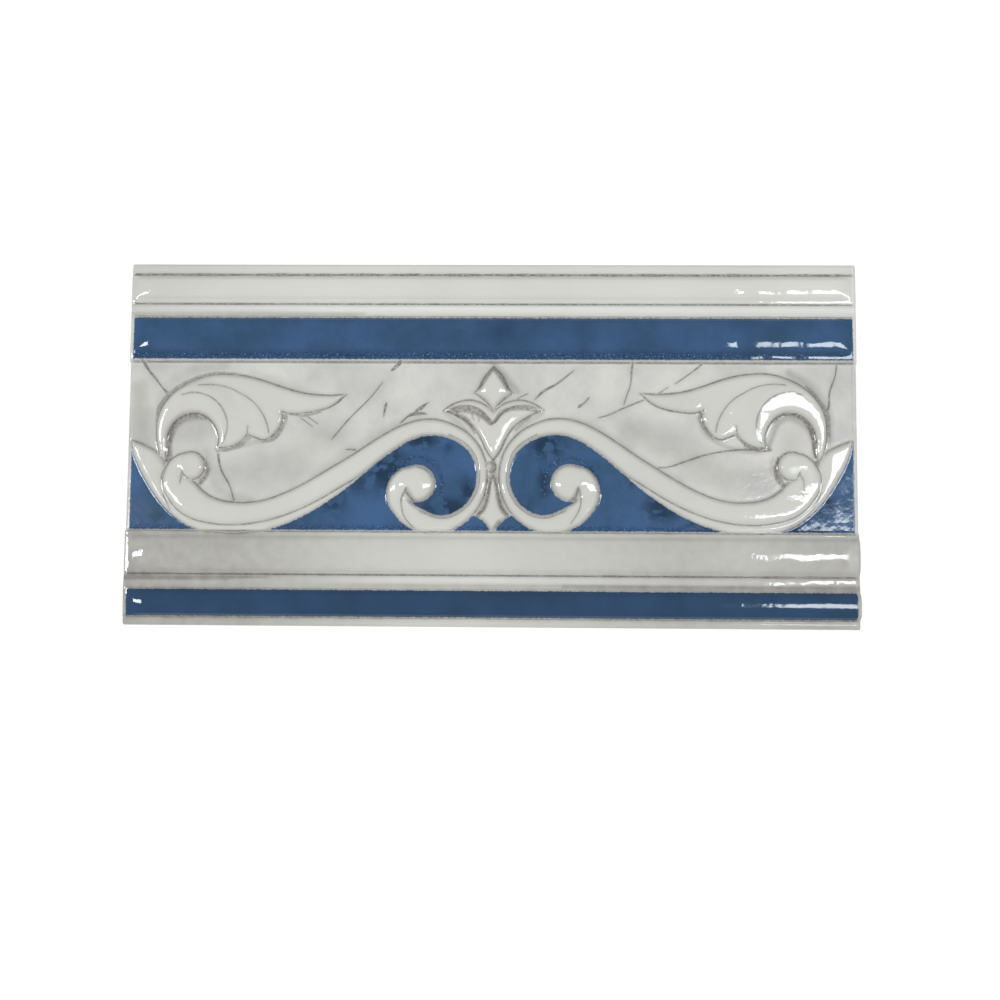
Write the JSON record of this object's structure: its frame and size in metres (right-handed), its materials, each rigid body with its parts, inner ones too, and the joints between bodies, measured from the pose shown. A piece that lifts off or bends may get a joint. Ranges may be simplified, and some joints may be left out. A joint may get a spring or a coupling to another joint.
{
  "type": "victorian border tile",
  "caption": "Glazed ceramic relief border tile with straight mouldings along both long edges and a raised scroll and leaf frieze between them.",
  "frame": {"origin": "middle of the back face, on the plane the tile rests on", "axes": "+X along the tile's length, +Y towards its upper long edge, +Z out of the glazed face"},
  "size_m": [0.2, 0.1, 0.0098],
  "materials": {
    "glaze": "glossy off-white glaze with mottled mid-blue glaze on two mouldings and the lower ground, grey-brown pigment settled in the grooves, unglazed cream biscuit on the edges and back"
  },
  "bodies": {
    "root": {"border_tile": "glaze"}
  },
  "joints": []
}
